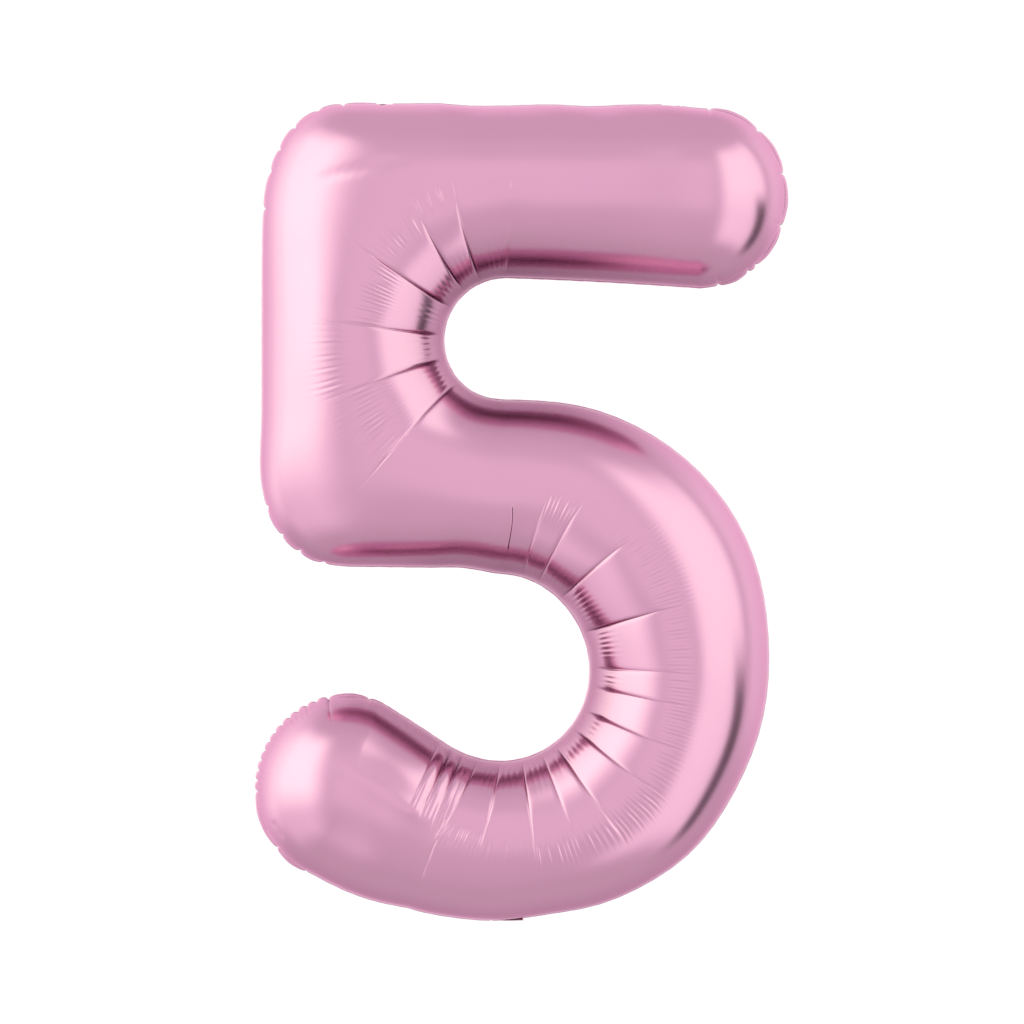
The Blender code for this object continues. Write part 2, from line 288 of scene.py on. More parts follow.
def half_widths(place):
    """(right, left) half widths of the stroke; the turn's outside is squared off to two full corners."""
    right, left = HALF_WIDTH + right_curve(place), HALF_WIDTH + left_curve(place)
    points, _ = middle_line(place)
    angle = np.arctan2(points[..., 1], points[..., 0])
    nearness = 0
    for normal, moved in TURN_WALLS:
        facing = np.maximum(np.cos(angle - normal), 0)
        nearness = nearness + (facing / (TURN_RADIUS + HALF_WIDTH + moved)) ** CORNER_POWER
    squared = np.maximum(nearness, 1e-30) ** (-1 / CORNER_POWER) - TURN_RADIUS
    right = right + (squared - right) * eased(np.minimum(place - 1, 2 - place), 0, TURN_EASE)
    run = np.interp(place, range(5), RUNS)
    for at, spread, out in RIGHT_WANDER:
        right = right + out * np.exp(-(((run - at) / spread) ** 2))
    for at, spread, out in LEFT_WANDER:
        left = left + out * np.exp(-(((run - at) / spread) ** 2))
    return right, left


def half_depth(place):
    swell = (right_curve(place) + left_curve(place)) / 2
    from_end = np.where(place < 1, place * ARM_LENGTH, 1.0)
    from_end = np.where(place > 3, (4 - place) * TAIL_LENGTH, from_end)
    return HALF_WIDTH + swell - END_THINNING * np.exp(-((from_end / END_THINNING_REACH) ** 2))


def in_turn(degrees):
    """The place in the turn at an angle round the upper bay's middle."""
    return 1 + (math.radians(degrees) - TURN_START) / TURN_SWEEP


def in_bowl(degrees):
    """The place in the bowl at an angle round the bowl's centre."""
    return 2 + (math.pi / 2 - math.radians(degrees)) / BOWL_SWEEP


# Tucks round the inside of the two bends: angle at the welded edge, angle where the tuck dies out, how far
# across the stroke that is, from 0 at the inner edge to 1 at the outer, and depth in millimetres.
BAY_TUCKS = (
    (90, 89, 0.22, 0.7), (115, 109, 0.60, 1.7), (132, 124, 0.59, 2.0), (151, 148, 0.64, 2.3),
    (176.5, 174.5, 0.68, 2.2), (197, 199, 0.70, 2.1), (221, 226, 0.72, 1.7),
)
BOWL_TUCKS = (
    (80, 76, 0.58, 1.0), (69, 65, 0.58, 1.5), (50.5, 45, 0.58, 1.8), (22.5, 19, 0.56, 2.0),
    (-2, -2.5, 0.58, 1.6), (-14, -12.5, 0.58, 1.5), (-30, -26, 0.60, 1.9), (-43.5, -40, 0.66, 2.0),
    (-59, -55.5, 0.72, 2.1), (-68.5, -68.5, 0.66, 1.3), (-81, -81.5, 0.68, 1.5), (-94, -98.5, 0.58, 1.3),
    (-107, -111.5, 0.52, 1.1),
)
TAIL_TUCKS = ((3.07, 3.09, 0.42, 0.8), (3.19, 3.22, 0.36, 0.7), (3.33, 3.36, 0.30, 0.5))
# The fine hatching in each facet between two tucks: its middle across the stroke, its spread, its strength.
BAY_HATCH = (
    (0.50, 0.04, 0.3), (0.52, 0.06, 0.8), (0.47, 0.06, 1.2), (0.43, 0.09, 0.9), (0.62, 0.09, 0.8),
    (0.50, 0.09, 1.1),
)
BOWL_HATCH = (
    (0.46, 0.07, 0.8), (0.50, 0.06, 0.6), (0.52, 0.08, 0.7), (0.50, 0.08, 0.5), (0.50, 0.08, 0.5),
    (0.53, 0.08, 0.5), (0.56, 0.07, 0.5), (0.60, 0.08, 0.8), (0.60, 0.06, 1.0), (0.60, 0.07, 1.0),
    (0.55, 0.07, 0.9), (0.50, 0.07, 1.0), (0.46, 0.08, 0.9), (0.40, 0.08, 0.8), (0.36, 0.08, 0.7),
)
# Puckers of the weld: angles round the bay's middle at the two outer corners.
CORNER_PUCKERS = (118, 125, 129.5, 135, 140, 144.5, 151.5, 215, 221, 225.5, 230.5)
# Pleats round the stroke's ends: angle about the end's centre, depth in millimetres and reach from the weld.
ARM_PLEATS = (
    (-79, 2.6, 0.028), (-59, 1.9, 0.015), (-53, 1.6, 0.012), (-23, 2.3, 0.022), (12.5, 2.3, 0.022),
    (47, 2.5, 0.024), (84, 2.6, 0.024),
)
TAIL_PLEATS = tuple((angle, 1.8, 0.011) for angle in np.arange(110, 186, 6.6)) + (
    (76, 1.7, 0.028), (102, 2.6, 0.036), (221, 1.9, 0.018), (244, 1.1, 0.012),
)
# Folds: from and to, in metres from the upper bay's middle, height and half width. The first comes off the
# upper corner, the second is a ridge down the tail, and the short ones are creases by the weld.
FOLDS = (
    ((-0.2008, 0.1660), (-0.1000, 0.1862), -0.0016, 0.0052),
    ((-0.1720, -0.4440), (-0.0620, -0.5110), 0.0020, 0.0085),
    ((-0.2440, -0.5020), (-0.2325, -0.5220), -0.0010, 0.0017),
    ((-0.1698, 0.0440), (-0.1748, 0.0220), -0.0006, 0.0013),
)
TAIL_CAP_START = 68.0
ARM_CAP_START = -91.0
# The shares of a tuck's depth in its sharp line and in the soft hollow round it, and of the tube's rounding
# that the facets fill up. The rest are the heights, widths and lengths of the small creases, in metres.
TUCK_SHARP_SHARE = 0.62
TUCK_SOFT_SHARE = 0.10
FACET_FLATNESS = 1.12
TUCK_SOFT_WIDTH = 0.0032
FACET_TILT = 0.00045
RIPPLE_LENGTH = 0.0052
RIPPLE_HEIGHT = 0.00016
PUCKER_DEPTH = 0.0026
PUCKER_WIDTH = 0.0019
LOBE_HEIGHT = 0.0011
PLEAT_WIDTH = 0.0016
VALLEY_DEPTH = 0.0011
FAN_HEIGHT = 0.00036
FAN_SPACING = 4.1  # degrees
SLOW_WAVE = 0.00035


def as_tucks(table, place_of):
    """Each tuck as its place at the edge, its place where it dies out, how far across, and its depth."""
    return [(place_of(start), place_of(end), reach, depth / 1000) for start, end, reach, depth in table]


def loop_stations(tucks, puckers):
    """Places along the stroke, evenly spread but closer by every tuck and pucker."""
    even = np.concatenate([k + np.arange(n) / n for k, n in enumerate(STATIONS.values())] + [[4.0]])
    extra = []
    for at in [tuck[0] for tuck in tucks] + list(puckers):
        per_metre = 1 / RUN_LENGTHS[int(at)]
        extra += [at + k * CREASE_WIDTH * per_metre for k in CREASE_COLUMNS]
    extra = np.array(extra)
    keep = np.abs(even[:, None] - extra[None]).min(axis=1) > 0.0012 / 0.6
    keep[[0, -1]] = True
    return np.sort(np.concatenate([even[keep], extra]))


def cap_stations(start, pleats):
    """Shares of the half turn round a stroke's end, closer by every pleat."""
    even = np.linspace(0, 1, CAP_STEPS + 1)[1:-1]
    at = (np.array([pleat[0] for pleat in pleats]) - start) / 180
    step = CREASE_WIDTH / (math.pi * HALF_WIDTH)
    extra = (at[:, None] + step * np.array(CREASE_COLUMNS)).ravel()
    keep = np.abs(even[:, None] - extra[None]).min(axis=1) > step * 0.5
    return np.sort(np.concatenate([even[keep], extra[(extra > 0.004) & (extra < 0.996)]]))


def sharp(metres, width=CREASE_WIDTH):
    return np.exp(-((np.abs(metres) / width) ** 1.3))


def film_grid(name, points):
    """A sheet of film through a grid of points, row by row."""
    rows, columns = points.shape[:2]
    bpy.ops.object.select_all(action="DESELECT")
    bpy.ops.mesh.primitive_grid_add(x_subdivisions=columns - 1, y_subdivisions=rows - 1, size=1)
    sheet = bpy.context.object
    sheet.name = name
    sheet.data.vertices.foreach_set("co", points.reshape(-1).astype(np.float32))
    return sheet


def skin(name, side, seed):
    """One panel, on side -1 for the front or 1 for the back, and the row of points along its weld."""
    rng = np.random.default_rng(seed)
    tucks = [as_tucks(BAY_TUCKS, in_turn), as_tucks(BOWL_TUCKS, in_bowl) + as_tucks(TAIL_TUCKS, float)]
    if side > 0:  # the back gathers at its own angles
        tucks = [[(at + to, end + 1.4 * to, reach * rng.uniform(0.9, 1.12), deep * rng.uniform(0.7, 1.25))
                  for (at, end, reach, deep), to in zip(group, rng.uniform(-0.022, 0.022, len(group)))]
                 for group in tucks]
    puckers = [in_turn(angle) for angle in CORNER_PUCKERS]
    along = loop_stations(tucks[0] + tucks[1], puckers)
    tail_turned = cap_stations(TAIL_CAP_START, TAIL_PLEATS)
    arm_turned = cap_stations(ARM_CAP_START, ARM_PLEATS)
    # a column per point of the outline: along the right, round the tail, back down the left, round the arm
    kinds = np.repeat([0, 1, 2, 3], [len(along), len(tail_turned), len(along), len(arm_turned)])
    station = np.concatenate([along, np.full(len(tail_turned), 4.0), along[::-1], np.zeros(len(arm_turned))])
    turned = np.concatenate([np.zeros(len(along)), tail_turned, np.zeros(len(along)), arm_turned])
    lean = (np.linspace(0, 1, ROWS + 1) ** 1.25 * math.pi / 2)[:, None]
    on_side = (kinds == 0) | (kinds == 2)
    station, kinds_row, lean = np.broadcast_to(station, (ROWS + 1, len(kinds))), kinds[None], lean
    right = kinds_row == 0
    round_tube = np.where(right, lean, math.pi - lean)  # 0 at the right edge, pi at the left
    inner_angle = np.where(station < 2, math.pi - round_tube, round_tube)  # 0 at the edge inside the bend
    across = (1 - np.cos(inner_angle)) / 2

    # the lines across the stroke lean with the tucks, so that a tuck lies on one line of points
    slants = [(at, 0.0) for at in (0.0, 0.7, 1.9, 3.7, 4.0)]
    slants += [(at, (end - at) / (2 * reach)) for at, end, reach, _ in tucks[0] + tucks[1]]
    lean_along = np.interp(station, *np.array(sorted(slants)).T)
    place = station + lean_along * 2 * across * (1 - eased(across, 0.62, 1.0))
    place = np.where(on_side[None], np.clip(place, 0, 4), station)

    middle, heading = middle_line(place)
    width_right, width_left = half_widths(place)
    depth = half_depth(place)
    outward = np.where(right[..., None], direction(heading - math.pi / 2), direction(heading + math.pi / 2))
    width = np.where(right, width_right, width_left)
    for kind, tip in ((1, TAIL_TIP_SWELL), (3, ARM_TIP_SWELL)):
        ends = kinds == kind
        share = turned[ends]
        first, last = (width_right, width_left) if kind == 1 else (width_left, width_right)
        first, last = first[:, ends], last[:, ends]
        width[:, ends] = (first + (last - first) * share
                          + (HALF_WIDTH + tip - (first + last) / 2) * np.sin(math.pi * share) ** 2)
        start = heading[:, ends] + (-math.pi / 2 if kind == 1 else math.pi / 2)
        outward[:, ends] = direction(start + math.pi * share)
    swollen = width + WELD_IN
    base = middle + (swollen * np.cos(lean))[..., None] * outward
    y = WELD_HALF + depth * np.sin(lean)
    normal = np.stack([outward[..., 0] * (np.cos(lean) / swollen), np.sin(lean) / depth,
                       outward[..., 1] * (np.cos(lean) / swollen)], axis=-1)
    normal /= np.linalg.norm(normal, axis=-1)[..., None]

    # metres along the film per unit of place, at each point
    tube_offset = swollen * np.cos(inner_angle)
    per_place = np.select(
        [station < 1, station < 2, station < 3],
        [ARM_LENGTH, TURN_SWEEP * (TURN_RADIUS - tube_offset), BOWL_SWEEP * (BOWL_RADIUS - tube_offset)],
        TAIL_LENGTH)
    height = np.zeros(place.shape)
    hatch = np.zeros(place.shape)
    sided = on_side[None] * np.ones_like(place)
    degrees = np.degrees(inner_angle)
    bends = ((tucks[0], BAY_HATCH, 0.8, 2.0, TURN_RADIUS, TURN_SWEEP),
             (tucks[1], BOWL_HATCH, 1.96, 5.0, BOWL_RADIUS, BOWL_SWEEP))
    for group, fields, first_place, last_place, bend_radius, sweep in bends:
        here = sided * ((station >= first_place) & (station < last_place))
        for at, _, reach, deep in group:
            end = math.degrees(math.acos(1 - 2 * reach))
            run = eased(degrees, 16, 34) * eased(degrees, end + 4, end - 26)
            run = run * (1 - 0.45 * eased(degrees, 50, 90))
            away = (station - at) * per_place
            height -= here * TUCK_SHARP_SHARE * deep * run * sharp(away)
            height -= here * TUCK_SOFT_SHARE * deep * run * np.exp(-((away / TUCK_SOFT_WIDTH) ** 2))
        for (at, _, reach, _), (after, _, next_reach, _), field in zip(group, group[1:], fields):
            through = (station - at) / (after - at) * 2 - 1
            inside = here * (np.abs(through) <= 1)
            end = math.degrees(math.acos(1 - (reach + next_reach)))
            radius = bend_radius - tube_offset
            bulge = radius * (1 - math.cos(sweep * (after - at) / 2)) * np.maximum(np.cos(inner_angle), 0)
            height += inside * FACET_FLATNESS * bulge * (1 - through * through) * eased(degrees, 8, 34)
            tilt = rng.uniform(-1, 1) * FACET_TILT
            height += inside * tilt * through * eased(degrees, 20, 50) * eased(degrees, end, end - 45)
            # short ripples close to the inner edge, in some facets more than others
            strong = rng.uniform(0.35, 1.0)
            first, last = rng.uniform(-1.0, -0.4), rng.uniform(0.1, 0.9)
            patch = eased(through, first - 0.3, first + 0.1) * eased(through, last + 0.3, last - 0.1)
            ripple_run = (station - at) * sweep * (bend_radius - 0.08) / RIPPLE_LENGTH
            ripple = np.cos(2 * math.pi * ripple_run + rng.uniform(0, 6))
            band = eased(degrees, 22, 32) * eased(degrees, rng.uniform(50, 62), 38)
            height += inside * patch * band * strong * RIPPLE_HEIGHT * ripple
            centre, spread, strength = field
            hatch += inside * strength * np.exp(-(((across - centre) / spread) ** 2))

    # puckers of the outer corners, and the swelling lobes between them
    from_weld = (math.pi - inner_angle) * swollen
    at_corner = sided * ((station > 1) & (station < 2))
    radial = TURN_SWEEP * (TURN_RADIUS - tube_offset)
    for index, at in enumerate(puckers):
        fade = np.exp(-((from_weld / (0.016 + 0.008 * math.sin(2.3 * index))) ** 2))
        height -= at_corner * PUCKER_DEPTH * fade * sharp((station - at) * radial, PUCKER_WIDTH)
    for at, after in zip(puckers, puckers[1:]):
        if after - at < 0.08:
            through = (station - at) / (after - at) * 2 - 1
            lobe = at_corner * (np.abs(through) <= 1) * LOBE_HEIGHT * (1 - through * through)
            height += lobe * np.exp(-((from_weld / 0.017) ** 2))

    # pleats round the two ends
    from_rim = lean * swollen
    for kind, start, pleats in ((1, TAIL_CAP_START, TAIL_PLEATS), (3, ARM_CAP_START, ARM_PLEATS)):
        ends = (kinds_row == kind) * np.ones_like(place)
        angle = start + 180 * turned[None]
        girth = math.radians(1) * swollen * np.cos(lean)
        ordered = sorted(pleats)
        for at, deep, reach in ordered:
            fade = np.exp(-((from_rim / reach) ** 2))
            height -= ends * deep / 1000 * fade * sharp((angle - at) * girth, PLEAT_WIDTH)
        for (at, deep, _), (after, next_deep, _) in zip(ordered, ordered[1:]):
            through = (angle - at) / (after - at) * 2 - 1
            inside = ends * (np.abs(through) <= 1)
            gap_width = (after - at) * math.radians(1) * HALF_WIDTH
            lobe = inside * min(0.0020, 0.13 * gap_width) * (1 - through * through)
            height += lobe * np.exp(-((from_rim / 0.014) ** 2))
            if gap_width > 0.02:  # a valley runs round the end between two pleats that are far apart
                valley = (from_rim - 0.0125 - 0.002 * (1 - through * through)) / 0.0017
                height -= inside * VALLEY_DEPTH * np.exp(-(valley**2)) * (1 - through**4)
    tail_angle = TAIL_CAP_START + 180 * turned[None]
    fan = eased(tail_angle, 108, 122) * eased(tail_angle, 208, 190)
    band = eased(from_rim, 0.010, 0.018) * eased(from_rim, 0.046, 0.026)
    height += (kinds_row == 1) * FAN_HEIGHT * fan * band * np.cos(2 * math.pi * tail_angle / FAN_SPACING)

    # folds where two pulls in the film meet
    for start, end, rise, wide in FOLDS:
        start, fold = np.array(start), np.subtract(end, start)
        down_fold = ((base - start) @ fold) / (fold @ fold)
        off_fold = np.linalg.norm(base - start - np.clip(down_fold, 0, 1)[..., None] * fold, axis=-1)
        ends = eased(down_fold, -0.1, 0.2) * eased(down_fold, 1.1, 0.6)
        height += rise * np.exp(-((off_fold / wide) ** 2)) * ends

    # slow waves of the whole panel
    shift = rng.uniform(0, 2 * math.pi, 6)
    run_on = np.interp(station, range(5), RUNS)
    slow = (np.sin(run_on * 31 + 2.1 * round_tube + shift[0]) * np.sin(1.7 * round_tube + shift[1])
            + 0.7 * np.sin(run_on * 53 - 1.3 * round_tube + shift[2]) * np.sin(2.6 * round_tube + shift[3]))
    height += sided * SLOW_WAVE * slow * np.sin(lean) * eased(np.minimum(station, 4 - station), 0, 0.3)

    points = np.stack([base[..., 0], y, base[..., 1]], axis=-1) + normal * height[..., None]
    points[..., 1] = np.maximum(points[..., 1], WELD_HALF) * side
    loop = np.append(np.arange(points.shape[1]), 0)
    points = points[:, loop] + BAY_MIDDLE
    pattern = np.stack([run_on + 0 * place, across * 0.2, hatch], axis=-1)[:, loop]

    panel = film_grid(name, points)
    lay = panel.data.attributes.new("film_place", "FLOAT_VECTOR", "POINT")
    lay.data.foreach_set("vector", pattern.reshape(-1).astype(np.float32))
    bpy.ops.object.mode_set(mode="EDIT")
    bpy.ops.mesh.select_all(action="SELECT")
    bpy.ops.mesh.remove_doubles(threshold=1e-6)
    bpy.ops.mesh.normals_make_consistent(inside=False)
    bpy.ops.object.mode_set(mode="OBJECT")
    facing = np.empty(len(panel.data.polygons) * 3)
    panel.data.polygons.foreach_get("normal", facing)
    if facing.reshape(-1, 3)[:, 1].mean() * side < 0:
        panel.data.flip_normals()
    panel.data.shade_smooth()
    return panel, points[0, :-1]


BAY_MIDDLE = np.array([-0.00414, 0.0, 0.60978])  # in metres, in the shared frame
PINK_LOW, PINK_HIGH = (0.700, 0.352, 0.520, 1), (0.735, 0.375, 0.545, 1)
PINK_EDGE = (0.90, 0.64, 0.78, 1)
# painted shade: the dark pink that the hatched film's base colour turns to in the bays and tucks
PINK_PAINTED_SHADE = (0.070, 0.013, 0.036, 1)
HATCH_SPACING = 0.0046
HATCH_HEIGHT = 0.00027

front_film, front_rim = skin("front_film", -1, 11)
back_film, _ = skin("back_film", 1, 23)


def pink_foil(name, hatch_and_painted_shade):
    """Metallised film under a pink lacquer: a soft mirror with a fine crinkle; the hatched film also gets
    painted shade, its base colour darkened by ambient occlusion in the bays and tucks.
    """
    foil = bpy.data.materials.new(name)
    foil.use_nodes = True
    shading = Shading(foil.node_tree)
    shader = foil.node_tree.nodes["Principled BSDF"]
    shader.inputs["Metallic"].default_value = 1.0
    place = shading.node("ShaderNodeTexCoord", {}, {}, "Object")
    cloud = shading.node("ShaderNodeTexNoise", {}, {"Vector": place, "Scale": 9.0, "Detail": 3.0})
    tint = shading.node("ShaderNodeMix", {"data_type": "RGBA"},
                        {"Factor": cloud, "A": PINK_LOW, "B": PINK_HIGH}, "Result")
    shader.inputs["Specular Tint"].default_value = PINK_EDGE
    if hatch_and_painted_shade:  # painted shade: where the film is hemmed in by more film, in the bays and the tucks, ambient occlusion darkens its base colour
        painted_shade_ao = shading.node("ShaderNodeAmbientOcclusion", {"samples": 6}, {"Distance": 0.24}, "AO")
        tint = shading.node("ShaderNodeMix", {"data_type": "RGBA"},
                            {"Factor": painted_shade_ao.swept(0.40, 0.95), "A": PINK_PAINTED_SHADE, "B": tint}, "Result")
    foil.node_tree.links.new(tint.socket, shader.inputs["Base Color"])
    haze = shading.node("ShaderNodeTexNoise", {}, {"Vector": place, "Scale": 26.0, "Detail": 4.0})
    rough = 0.19 + 0.06 * haze
    foil.node_tree.links.new(rough.socket, shader.inputs["Roughness"])
    fine = shading.node("ShaderNodeTexNoise", {}, {"Vector": place, "Scale": 260.0, "Detail": 2.0})
    relief = 0.000010 * fine
    if hatch_and_painted_shade:
        lay = shading.node("ShaderNodeAttribute", {"attribute_name": "film_place"}, {}, "Vector")
        parts = shading.node("ShaderNodeSeparateXYZ", {}, {"Vector": lay}, "X").socket.node.outputs
        along, across, strength = (Wire(shading, socket) for socket in parts)
        strip = shading.node("ShaderNodeCombineXYZ", {}, {"X": along, "Y": across * 0.06})
        streak = shading.node("ShaderNodeTexNoise", {}, {"Vector": strip, "Scale": 150.0, "Detail": 1.0})
        comb = along.maths("SINE", (along + 0.0016 * streak) * (2 * math.pi / HATCH_SPACING))
        patchy = streak.swept(0.40, 0.56)
        relief = relief + HATCH_HEIGHT * comb * strength * (0.2 + 0.8 * patchy)
    bump = shading.node("ShaderNodeBump", {}, {"Height": relief, "Distance": 1.0, "Strength": 1.0})
    foil.node_tree.links.new(bump.socket, shader.inputs["Normal"])
    return foil


# the flat blank: a strip as wide as half the tube's girth, with round ends and two full outer corners
flat_half = math.pi * HALF_WIDTH / 2
flat_area = 2 * flat_half * RUNS[-1] + math.pi * flat_half**2
flat_area += 2 * (1 - math.pi / 4) * (TURN_RADIUS + flat_half) ** 2

film_foil = pink_foil("film_foil", True)
for panel, node in ((front_film, "front_panel"), (back_film, "back_panel")):
    panel.data.materials.append(film_foil)
    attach(panel, "balloon")
    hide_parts(node)

# -------------------------------------------------------------------------------------------------------
# The weld band: the edges of both panels, pressed flat together by a hot bar and trimmed. It follows the
# panels' edge, and the swollen film pulls it back and makes it wave.
# -------------------------------------------------------------------------------------------------------
BAND_WIDTH = 0.0030
BAND_TUCK = 0.0012
BAND_THICKNESS = 0.0004
BAND_LEAN = 0.0028  # how far the pull of the film turns its free edge to the back
BAND_OUT = 0.0008  # and how far that leaves it out past the weld
BAND_SMOOTHING = 7  # points on either side
NECK_GAP = 0.0145

rim = front_rim.copy()
rim[:, 1] = 0
outline = np.roll(rim, -1, axis=0) - np.roll(rim, 1, axis=0)
outwards = np.stack([outline[:, 2], 0 * outline[:, 0], -outline[:, 0]], axis=1)
outwards /= np.maximum(np.linalg.norm(outwards, axis=1), 1e-12)[:, None]
weights = np.hanning(2 * BAND_SMOOTHING + 1)
weights = weights / weights.sum()
wrapped = np.concatenate([outwards[-BAND_SMOOTHING:], outwards, outwards[:BAND_SMOOTHING]])
outwards = np.stack([np.convolve(column, weights, "valid") for column in wrapped.T], axis=1)
outwards /= np.linalg.norm(outwards, axis=1)[:, None]
run = np.cumsum(np.linalg.norm(outline, axis=1)) / 2
away = np.linspace(-BAND_TUCK, BAND_WIDTH, 6)[:, None]
share = np.clip(away / BAND_WIDTH, 0, 1)
wave = 0.00030 * np.sin(run * 2 * math.pi / 0.021) + 0.00015 * np.sin(run * 2 * math.pi / 0.0083 + 1.0)
back_lean = BAND_LEAN * share**1.5 + share * wave[None]
reach = np.where(away < 0, away, BAND_OUT * (2 - share) * share + 0.3 * share * wave[None])
band_points = rim[None] + reach[..., None] * outwards[None]
band_points[..., 1] = back_lean
start = int(np.argmin(np.where(np.abs(rim[:, 0]) < 0.05, rim[:, 2], 1.0)))
order = np.roll(np.arange(len(rim)), -start)
tabs = [(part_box("hang_tab_" + side)[0].x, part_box("hang_tab_" + side)[1].x) for side in ("left", "right")]
for low, high in tabs:  # the tongues' roots take the band's place
    at_tab = (rim[:, 0] > low - 0.0005) & (rim[:, 0] < high + 0.0005) & (rim[:, 2] > 0.8)
    band_points[1:, at_tab] = band_points[1, at_tab]
open_run = [i for i in order if not (abs(rim[i, 0]) < NECK_GAP and rim[i, 2] < 0.02)]


def thicken(sheet, thickness):
    """Half the thickness goes on either side of the sheet."""
    wall = sheet.modifiers.new("film", "SOLIDIFY")
    wall.thickness, wall.offset = thickness, 0
    bpy.ops.object.modifier_apply(modifier="film")


weld_band = film_grid("weld_band", band_points[:, open_run])
thicken(weld_band, BAND_THICKNESS)
weld_band.data.shade_smooth()
weld_band.data.materials.append(pink_foil("band_foil", False))
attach(weld_band, "balloon")
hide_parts("edge_seam")

# -------------------------------------------------------------------------------------------------------
# The filling neck: two plies of the same film, welded along both sides into a flat sleeve, on the lowest
# edge of the bowl. It is folded up behind the bowl and lies against the back panel, its mouth a hair open.
# -------------------------------------------------------------------------------------------------------
NECK_LENGTH = 0.084
NECK_ROOT_WIDTH = 0.026
NECK_MOUTH_WIDTH = 0.036
NECK_WELD = 0.0032
NECK_LIFT = 0.0017  # from the bowl's back to the middle between the plies
PLY_FILM = 0.0003
lowest = front_rim[np.abs(front_rim[:, 0]) < 0.002, 2].min()
neck_root = Vector((0, 0.00060, lowest + 0.0005))
bowl_middle_z = BAY_MIDDLE[2] - TURN_RADIUS - 2 * BOWL_RADIUS
neck_drop = bowl_middle_z - neck_root.z
neck_reach = float(half_depth(np.array([in_bowl(-88.7)]))[0])
neck_foil = pink_foil("neck_foil", False)


def wrapped_strip(name, length, width_at, lift_at, thickness, columns, rows):
    """A strip that leaves the bowl's lowest edge and lies up its back, at a height lift_at off the bowl."""
    along, across = np.meshgrid(np.linspace(0, length, columns), np.linspace(-1, 1, rows))
    lift = lift_at(along / length, across)
    angle = along / ((neck_reach + neck_drop) / 2 + 0.001)
    y = neck_root.y + (neck_reach + lift) * np.sin(angle)
    z = bowl_middle_z - (neck_drop + lift) * np.cos(angle)
    points = np.stack([across * width_at(along / length) / 2, y, z], axis=-1)
    strip = film_grid(name, points)
    thicken(strip, thickness)
    bpy.ops.object.mode_set(mode="EDIT")
    bpy.ops.mesh.select_all(action="SELECT")
    bpy.ops.mesh.normals_make_consistent(inside=False)
    bpy.ops.object.mode_set(mode="OBJECT")
    strip.data.shade_smooth()
    return strip


def neck_width(share):
    return NECK_ROOT_WIDTH + (NECK_MOUTH_WIDTH - NECK_ROOT_WIDTH) * share**2


def ply_lift(outer):
    """The two plies meet in the side welds, and stand apart over the valve and at the mouth."""
    def lift(share, across):
        from_side = (1 - np.abs(across)) * neck_width(share) / 2
        open_part = eased(from_side, NECK_WELD * 0.8, NECK_WELD * 2.0) * eased(share, -0.01, 0.05)
        apart = (0.0004 + 0.0013 * share**3) * open_part + 0.0002
        wrinkles = 0.00016 * np.sin(share * 41 + 2.2 * across) * open_part
        wrinkles = wrinkles + 0.00012 * np.sin(share * 17 - 3 * across)
        return NECK_LIFT + apart * (1 if outer else -1) + wrinkles
    return lift


for name, outer in (("neck_back_ply", False), ("neck_front_ply", True)):
    ply = wrapped_strip(name + "_film", NECK_LENGTH, neck_width, ply_lift(outer), PLY_FILM, 91, 29)
    ply.data.materials.append(neck_foil)
    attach(ply, "filling_neck")
    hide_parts(name)

# -------------------------------------------------------------------------------------------------------
# The valve: two strips of clear soft plastic between the plies, welded along their sides, that let gas in
# and cling together behind it. Inside the bowl they go on as two flaps.
# -------------------------------------------------------------------------------------------------------
VALVE_WIDTH = 0.020
VALVE_SETBACK = 0.010
VALVE_FILM = 0.00015

valve_plastic = bpy.data.materials.new("valve_plastic")
valve_plastic.use_nodes = True
clear = Shading(valve_plastic.node_tree)
clear_shader = valve_plastic.node_tree.nodes["Principled BSDF"]
clear_place = clear.node("ShaderNodeTexCoord", {}, {}, "Object")
milk = clear.node("ShaderNodeTexNoise", {}, {"Vector": clear_place, "Scale": 60.0, "Detail": 3.0})
milk_tint = clear.node("ShaderNodeMix", {"data_type": "RGBA"},
                       {"Factor": milk, "A": (0.80, 0.83, 0.86, 1), "B": (0.92, 0.93, 0.94, 1)}, "Result")
valve_plastic.node_tree.links.new(milk_tint.socket, clear_shader.inputs["Base Color"])
milk_rough = 0.22 + 0.16 * milk
valve_plastic.node_tree.links.new(milk_rough.socket, clear_shader.inputs["Roughness"])
clear_shader.inputs["Alpha"].default_value = 0.6
stretch = clear.node("ShaderNodeBump", {}, {"Height": 0.00005 * milk, "Distance": 1.0})
valve_plastic.node_tree.links.new(stretch.socket, clear_shader.inputs["Normal"])

for name, height in (("valve_back_film", 0.00152), ("valve_front_film", 0.00188)):
    film = wrapped_strip(name + "_strip", NECK_LENGTH - VALVE_SETBACK, lambda share: VALVE_WIDTH + 0 * share,
                         lambda share, across: height + 0.00008 * np.sin(share * 33 + 4 * across),
                         VALVE_FILM, 71, 17)
    film.data.materials.append(valve_plastic)
    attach(film, "filling_neck")
    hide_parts(name)

for name in ("valve_front_flap", "valve_back_flap"):
    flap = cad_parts[name]
    for slot in flap.material_slots:
        slot.material = valve_plastic

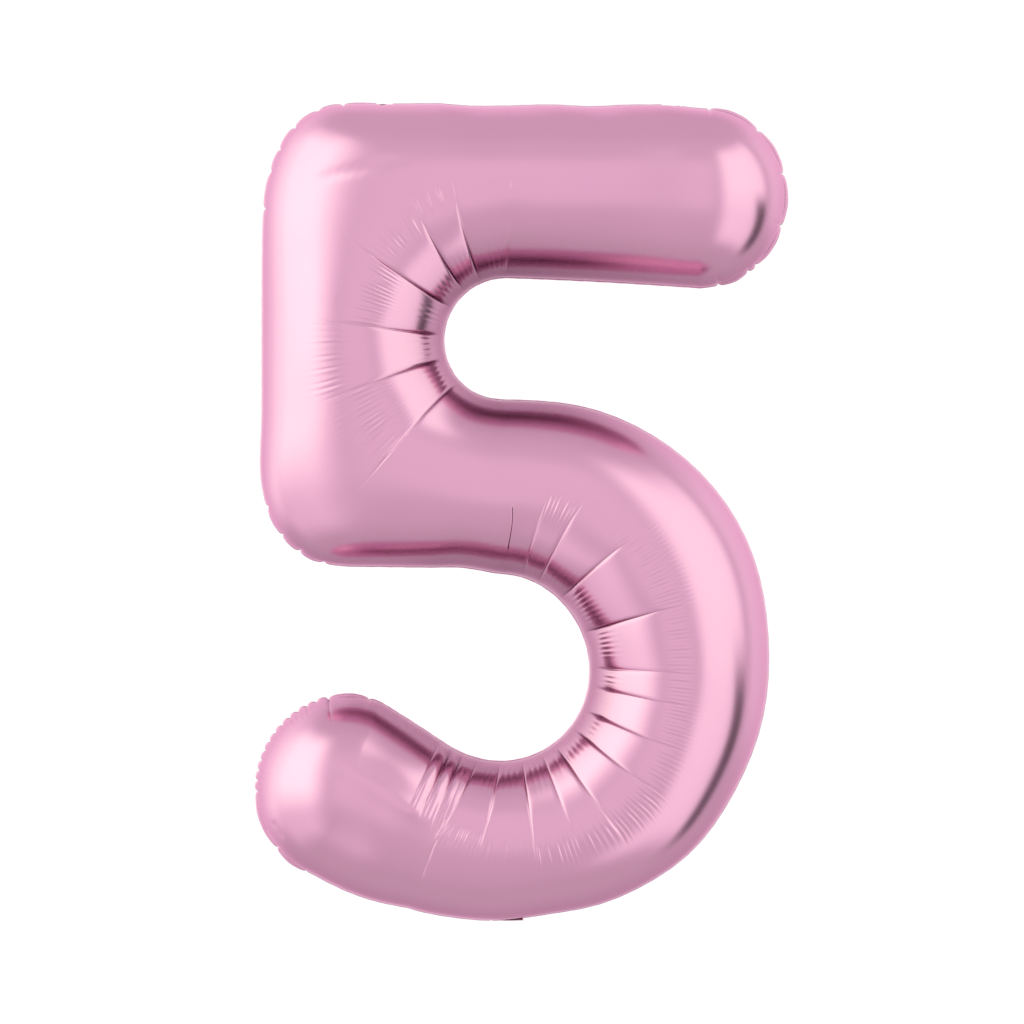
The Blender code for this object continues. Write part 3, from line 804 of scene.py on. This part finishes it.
# -------------------------------------------------------------------------------------------------------
# The hang tabs: two tongues of the welded film left on the top edge when it is trimmed, each with a
# punched hole, folded back behind the balloon.
# -------------------------------------------------------------------------------------------------------
TAB_HOLE_RADIUS = 0.0025
TAB_HOLE_IN = 0.0092
TAB_THICKNESS = 0.0005
TAB_DROP = 0.0005  # below the middle of the node's box
TAB_BEND_STEP = 0.0019  # between the lines along which the tongue can bend
tab_foil = pink_foil("tab_foil", False)
for side in ("left", "right"):
    low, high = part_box("hang_tab_" + side)
    middle_x, top_z, tongue = (low.x + high.x) / 2, (low.z + high.z) / 2 - TAB_DROP, (high.x - low.x) / 2
    bpy.ops.object.select_all(action="DESELECT")
    bpy.ops.mesh.primitive_cylinder_add(vertices=96, radius=tongue, depth=TAB_THICKNESS,
                                        location=(middle_x, high.y - tongue, top_z))
    tab = bpy.context.object
    tab.name = "hang_tab_%s_foil" % side
    bpy.ops.mesh.primitive_cube_add(size=1, location=(middle_x, (low.y + high.y - tongue) / 2, top_z))
    root_block = bpy.context.object
    root_block.scale = (2 * tongue, high.y - tongue - low.y, TAB_THICKNESS)
    bpy.ops.mesh.primitive_cylinder_add(vertices=64, radius=TAB_HOLE_RADIUS, depth=0.01,
                                        location=(middle_x, low.y + TAB_HOLE_IN, top_z))
    punch = bpy.context.object
    for tool, work in ((root_block, "UNION"), (punch, "DIFFERENCE")):
        cut = tab.modifiers.new(work, "BOOLEAN")
        cut.operation, cut.object, cut.solver = work, tool, "EXACT"
        bpy.context.view_layer.objects.active = tab
        bpy.ops.object.modifier_apply(modifier=work)
        bpy.data.objects.remove(tool)
    bpy.ops.object.select_all(action="DESELECT")
    tab.select_set(True)
    bpy.context.view_layer.objects.active = tab
    bpy.ops.object.transform_apply(location=True, rotation=True, scale=True)
    soften = tab.modifiers.new("edge", "BEVEL")
    soften.width, soften.segments, soften.limit_method = 0.00012, 2, "ANGLE"
    bpy.ops.object.modifier_apply(modifier="edge")
    bpy.ops.object.mode_set(mode="EDIT")
    for row in range(1, 8):
        bpy.ops.mesh.select_all(action="SELECT")
        bpy.ops.mesh.bisect(plane_co=(middle_x, low.y + TAB_BEND_STEP * row, top_z), plane_no=(0, 1, 0))
    bpy.ops.mesh.select_all(action="SELECT")
    bpy.ops.mesh.normals_make_consistent(inside=False)
    bpy.ops.object.mode_set(mode="OBJECT")
    for point in tab.data.vertices:  # the tongue lies on the round of the back panel
        back = point.co.y - low.y
        ripple = 0.00018 * math.sin(back * 700 + point.co.x * 260)
        point.co.z -= 0.5 * back * back / (2 * HALF_WIDTH) - ripple
    bpy.ops.object.shade_smooth_by_angle(angle=math.radians(35))
    tab.data.materials.append(tab_foil)
    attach(tab, side + "_tab")
    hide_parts("hang_tab_" + side)
